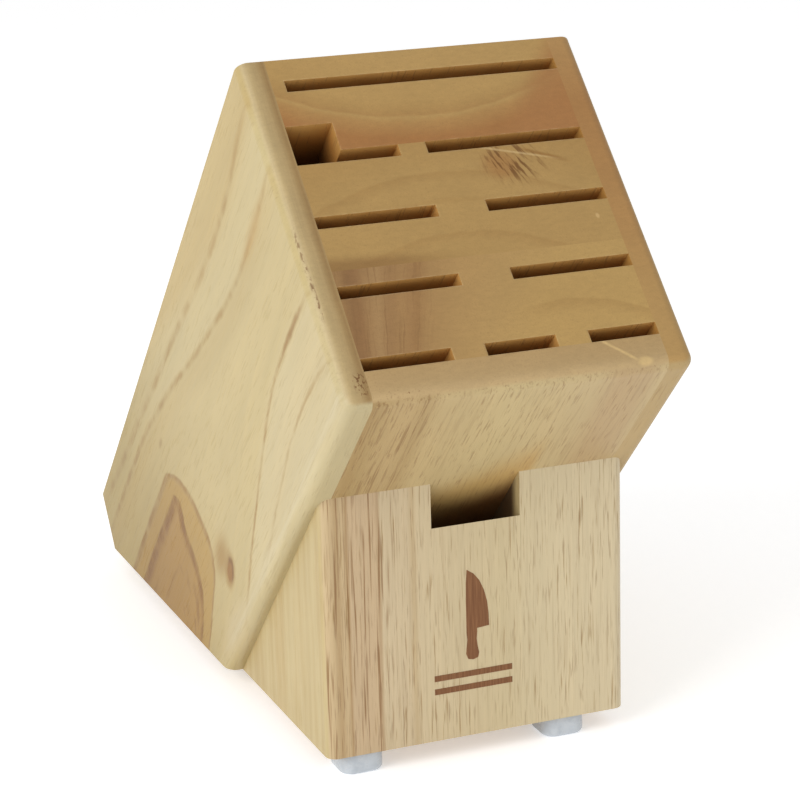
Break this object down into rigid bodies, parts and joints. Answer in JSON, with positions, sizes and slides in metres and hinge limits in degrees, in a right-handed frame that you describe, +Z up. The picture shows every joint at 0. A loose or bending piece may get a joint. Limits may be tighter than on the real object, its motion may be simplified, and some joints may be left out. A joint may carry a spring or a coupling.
{
  "type": "knife block",
  "caption": "Slanted hardwood knife block, empty, with rows of knife slots, a honing steel well, a shears slot in its wedge base and soft bumper feet.",
  "frame": {"origin": "centre of the bounding box at the level of the surface that the feet stand on", "axes": "+Z up; the front, where the shears slot opens, faces -Y; +X is to the right of someone facing the front"},
  "size_m": [0.127, 0.3154, 0.2476],
  "materials": {
    "core_wood": "satin oiled hardwood, end grain and strips",
    "cheek_wood": "satin oiled hardwood, flat sawn",
    "base_wood": "satin oiled hardwood, straight grain",
    "clear_rubber": "soft translucent bumper, satin",
    "adhesive": "thin double-sided adhesive disc"
  },
  "bodies": {
    "root": {"front_board": "core_wood", "core_board_four": "core_wood", "core_board_three": "core_wood", "core_board_three_front": "core_wood", "core_board_two": "core_wood", "core_board_one": "core_wood", "back_board": "core_wood", "row_one_strip": "core_wood", "row_two_strip": "core_wood", "row_three_strip": "core_wood", "row_four_strip": "core_wood", "row_five_left_strip": "core_wood", "row_five_right_strip": "core_wood", "well_backing": "core_wood", "left_cheek": "cheek_wood", "right_cheek": "cheek_wood", "base_stave_far_left": "base_wood", "base_stave_left": "base_wood", "base_stave_centre_left": "base_wood", "base_stave_centre_right": "base_wood", "base_stave_right": "base_wood", "base_stave_far_right": "base_wood", "foot_front_left": "clear_rubber", "foot_front_right": "clear_rubber", "foot_rear_left": "clear_rubber", "foot_rear_right": "clear_rubber", "adhesive_front_left": "adhesive", "adhesive_front_right": "adhesive", "adhesive_rear_left": "adhesive", "adhesive_rear_right": "adhesive"}
  },
  "joints": []
}
